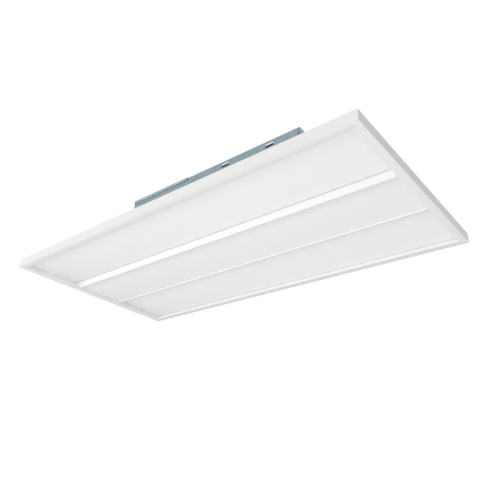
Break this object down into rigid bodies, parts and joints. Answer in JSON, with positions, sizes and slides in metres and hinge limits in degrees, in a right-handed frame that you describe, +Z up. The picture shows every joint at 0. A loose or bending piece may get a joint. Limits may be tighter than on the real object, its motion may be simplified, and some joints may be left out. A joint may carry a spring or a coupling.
{
  "type": "recessed troffer light",
  "caption": "Lay-in recessed troffer: white rimmed frame, sloping wings and centre panel, opal light bars between them, galvanised gear tray with hinged covers on the back.",
  "frame": {"origin": "middle of the visible face, on the plane of the rim that bears on the ceiling grid", "axes": "+X along the luminaire, +Y across it away from the gear tray, +Z up into the ceiling void"},
  "size_m": [1.195, 0.595, 0.0713],
  "materials": {
    "white_rail": "satin white powder coat",
    "white_panel": "matt white powder coat",
    "opal_lens": "satin opal acrylic",
    "galvanised": "galvanised sheet, blue-grey",
    "bare_aluminium": "mill finish",
    "zinc_fixing": "bright zinc",
    "board": "white solder mask",
    "phosphor": "yellow phosphor",
    "white_nylon": "moulded nylon",
    "driver_case": "satin white",
    "grey_nylon": "moulded nylon",
    "orange_nylon": "moulded nylon",
    "lead_sheath": "soft PVC",
    "black_rubber": "moulded rubber"
  },
  "bodies": {
    "luminaire": {"rail_near": "white_rail", "rail_far": "white_rail", "rail_left": "white_rail", "rail_right": "white_rail", "corner_keys": "zinc_fixing", "back_plate": "galvanised", "plate_screws": "zinc_fixing", "wing_near": "white_panel", "wing_far": "white_panel", "centre_panel": "white_panel", "panel_rivets": "bare_aluminium", "carrier_near": "bare_aluminium", "carrier_far": "bare_aluminium", "lens_near": "opal_lens", "lens_far": "opal_lens", "bar_end_caps": "opal_lens", "led_boards": "board", "led_chips_near": "phosphor", "led_chips_far": "phosphor", "lead_sockets": "white_nylon", "gear_tray": "galvanised", "tray_screws": "zinc_fixing", "partition": "galvanised", "lead_bushings": "black_rubber", "plate_grommets": "black_rubber", "inlet_grommet": "black_rubber", "cover_catches": "white_nylon", "hinge_pins": "zinc_fixing", "led_driver": "driver_case", "driver_terminals": "grey_nylon", "driver_screws": "zinc_fixing", "terminal_block": "grey_nylon", "earth_screw": "zinc_fixing", "supply_leads": "lead_sheath", "output_lead_near": "lead_sheath", "output_lead_far": "lead_sheath", "lead_saddles": "white_nylon", "clip_brackets": "zinc_fixing", "clip_rivets": "bare_aluminium"},
    "wiring_cover": {"wiring_cover": "galvanised"},
    "gear_cover": {"gear_cover": "galvanised"},
    "terminal_lever_live": {"terminal_lever_live": "orange_nylon"},
    "terminal_lever_neutral": {"terminal_lever_neutral": "orange_nylon"},
    "terminal_lever_earth": {"terminal_lever_earth": "orange_nylon"},
    "grid_clip_near_left": {"grid_clip_near_left": "zinc_fixing"},
    "grid_clip_near_right": {"grid_clip_near_right": "zinc_fixing"},
    "grid_clip_far_left": {"grid_clip_far_left": "zinc_fixing"},
    "grid_clip_far_right": {"grid_clip_far_right": "zinc_fixing"}
  },
  "joints": [
    {"name": "wiring_cover_hinge", "type": "hinge", "parent": "luminaire", "child": "wiring_cover", "pos_m": [0.02, -0.143, 0.06795], "axis": [-1, 0, 0], "range_deg": [0, 105]},
    {"name": "gear_cover_hinge", "type": "hinge", "parent": "luminaire", "child": "gear_cover", "pos_m": [0.285, -0.143, 0.06565], "axis": [-1, 0, 0], "range_deg": [0, 105]},
    {"name": "terminal_lever_live_hinge", "type": "hinge", "parent": "luminaire", "child": "terminal_lever_live", "pos_m": [-0.014, -0.2051, 0.0402], "axis": [-1, 0, 0], "range_deg": [0, 90]},
    {"name": "terminal_lever_neutral_hinge", "type": "hinge", "parent": "luminaire", "child": "terminal_lever_neutral", "pos_m": [0, -0.2051, 0.0402], "axis": [-1, 0, 0], "range_deg": [0, 90]},
    {"name": "terminal_lever_earth_hinge", "type": "hinge", "parent": "luminaire", "child": "terminal_lever_earth", "pos_m": [0.014, -0.2051, 0.0402], "axis": [-1, 0, 0], "range_deg": [0, 90]},
    {"name": "grid_clip_near_left_swing", "type": "hinge", "parent": "luminaire", "child": "grid_clip_near_left", "pos_m": [-0.5, -0.262, 0.0409], "axis": [0, 0, 1], "range_deg": [0, 90]},
    {"name": "grid_clip_near_right_swing", "type": "hinge", "parent": "luminaire", "child": "grid_clip_near_right", "pos_m": [0.5, -0.262, 0.0409], "axis": [0, 0, -1], "range_deg": [0, 90]},
    {"name": "grid_clip_far_left_swing", "type": "hinge", "parent": "luminaire", "child": "grid_clip_far_left", "pos_m": [-0.5, 0.262, 0.0409], "axis": [0, 0, -1], "range_deg": [0, 90]},
    {"name": "grid_clip_far_right_swing", "type": "hinge", "parent": "luminaire", "child": "grid_clip_far_right", "pos_m": [0.5, 0.262, 0.0409], "axis": [0, 0, 1], "range_deg": [0, 90]}
  ]
}
